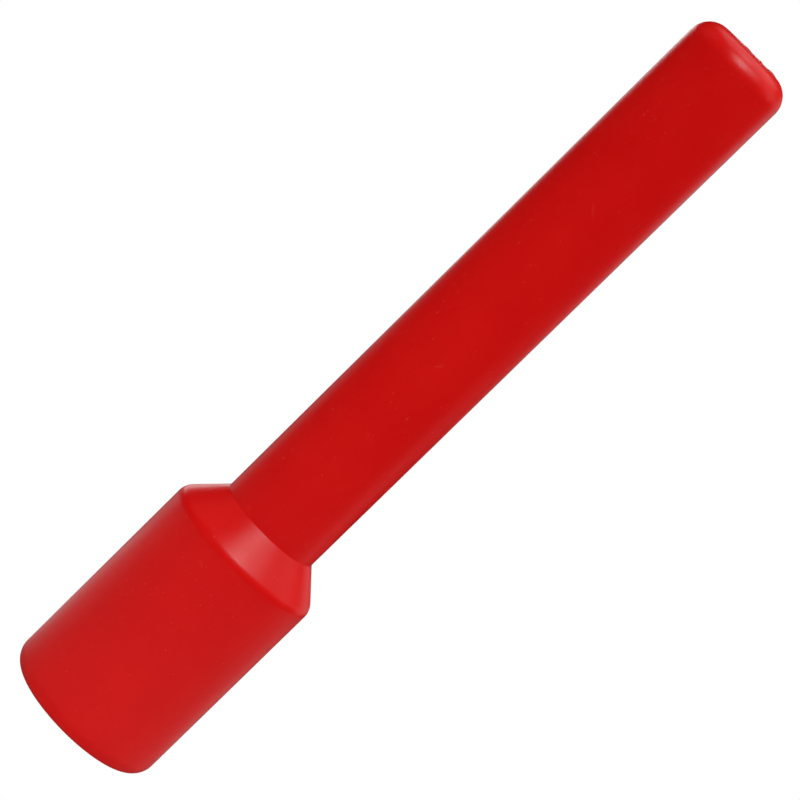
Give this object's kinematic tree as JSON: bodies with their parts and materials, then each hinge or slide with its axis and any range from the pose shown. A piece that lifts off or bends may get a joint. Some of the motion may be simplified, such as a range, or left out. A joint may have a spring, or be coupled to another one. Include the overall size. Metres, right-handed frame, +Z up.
{
  "type": "post driver",
  "caption": "Red moulded slam driver for thin rod fence posts: straight round grip, conical shoulder and wide bell over a weighted steel core with a floating striker.",
  "frame": {"origin": "middle of the bell rim's flat underside, on the surface that the tool stands on", "axes": "+Z up the tool's axis from the mouth to the closed end of the grip; +X and +Y across it"},
  "size_m": [0.0754, 0.0754, 0.4004],
  "materials": {
    "red_moulding": "satin moulded plastic with a soft broad highlight",
    "mild_steel": "bright drawn mill finish, lightly oiled",
    "tool_steel": "hardened and ground",
    "spring_steel": "black phosphate",
    "zinc_plate": "bright zinc plate",
    "cast_weight": "as cast, with turned faces",
    "nylon": "natural machined nylon",
    "rubber": "matt moulded rubber"
  },
  "bodies": {
    "driver": {"outer_body": "red_moulding", "barrel_tube": "mild_steel", "barrel_end_plug": "mild_steel", "plug_pin": "spring_steel", "anvil_buffer": "rubber", "anvil_retaining_ring": "spring_steel", "upper_guide_bush": "nylon", "bush_retaining_ring": "spring_steel", "lower_guide_bush": "nylon", "core_flange": "mild_steel", "ballast_ring_lower": "cast_weight", "ballast_ring_middle": "cast_weight", "ballast_ring_upper": "cast_weight", "mouth_gasket": "rubber", "mouth_plate": "zinc_plate", "wear_ring": "tool_steel", "mouth_screw_front": "zinc_plate", "mouth_screw_right": "zinc_plate", "mouth_screw_rear": "zinc_plate", "mouth_screw_left": "zinc_plate"},
    "striker": {"anvil": "tool_steel", "strike_pad": "nylon"}
  },
  "joints": [
    {"name": "striker_float", "type": "slide", "parent": "driver", "child": "striker", "axis": [0, 0, 1], "range_m": [0, 0.003]}
  ]
}
